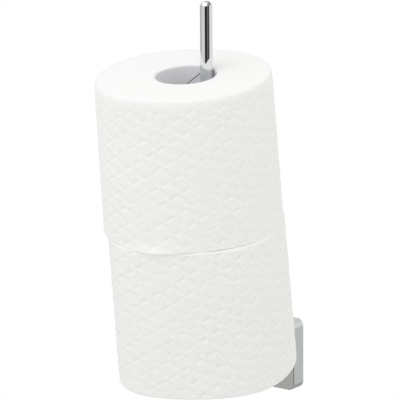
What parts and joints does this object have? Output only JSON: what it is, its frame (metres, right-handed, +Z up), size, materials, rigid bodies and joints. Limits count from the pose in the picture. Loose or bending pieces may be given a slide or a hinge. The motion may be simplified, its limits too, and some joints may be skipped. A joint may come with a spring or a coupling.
{
  "type": "double toilet roll holder",
  "caption": "Wall-mounted spare roll holder: a small square chrome bracket with an upright round bar that carries a stack of leaning toilet rolls.",
  "frame": {"origin": "middle of the wall plate's back face, on the plane of the wall and on the arm's axis", "axes": "+Z up along the upright bar, +Y into the wall, +X to the right when facing the wall"},
  "size_m": [0.1166, 0.1457, 0.2663],
  "materials": {
    "plated_steel": "zinc-plated pressed steel, hidden inside the cover",
    "satin_chrome": "chrome-plated zinc casting, smooth, slightly soft reflections",
    "polished_chrome": "mirror-polished chrome on steel",
    "screw_steel": "plain stainless steel",
    "cardboard": "grey recycled cardboard, spirally wound, matte",
    "tissue_paper": "white quilted tissue, matte"
  },
  "bodies": {
    "holder": {"wall_plate": "plated_steel", "bracket_cover": "satin_chrome", "grub_screw": "screw_steel", "roll_bar": "polished_chrome", "bar_washer": "screw_steel", "bar_screw": "screw_steel"},
    "lower_core": {"lower_core": "cardboard"},
    "lower_paper": {"lower_paper": "tissue_paper"},
    "upper_core": {"upper_core": "cardboard"},
    "upper_paper": {"upper_paper": "tissue_paper"}
  },
  "joints": [
    {"name": "lower_lift", "type": "slide", "parent": "holder", "child": "lower_core", "axis": [0, 0, 1], "range_m": [0, 0.243]},
    {"name": "lower_turn", "type": "hinge", "parent": "lower_core", "child": "lower_paper", "pos_m": [-0.0033, -0.06889, 0.00229], "axis": [0, -0.1045, 0.9945], "continuous": true},
    {"name": "upper_lift", "type": "slide", "parent": "lower_core", "child": "upper_core", "axis": [0, 0, 1], "range_m": [0, 0.15]},
    {"name": "upper_turn", "type": "hinge", "parent": "upper_core", "child": "upper_paper", "pos_m": [-0.0059, -0.07619, 0.10036], "axis": [0, -0.1045, 0.9945], "continuous": true}
  ]
}
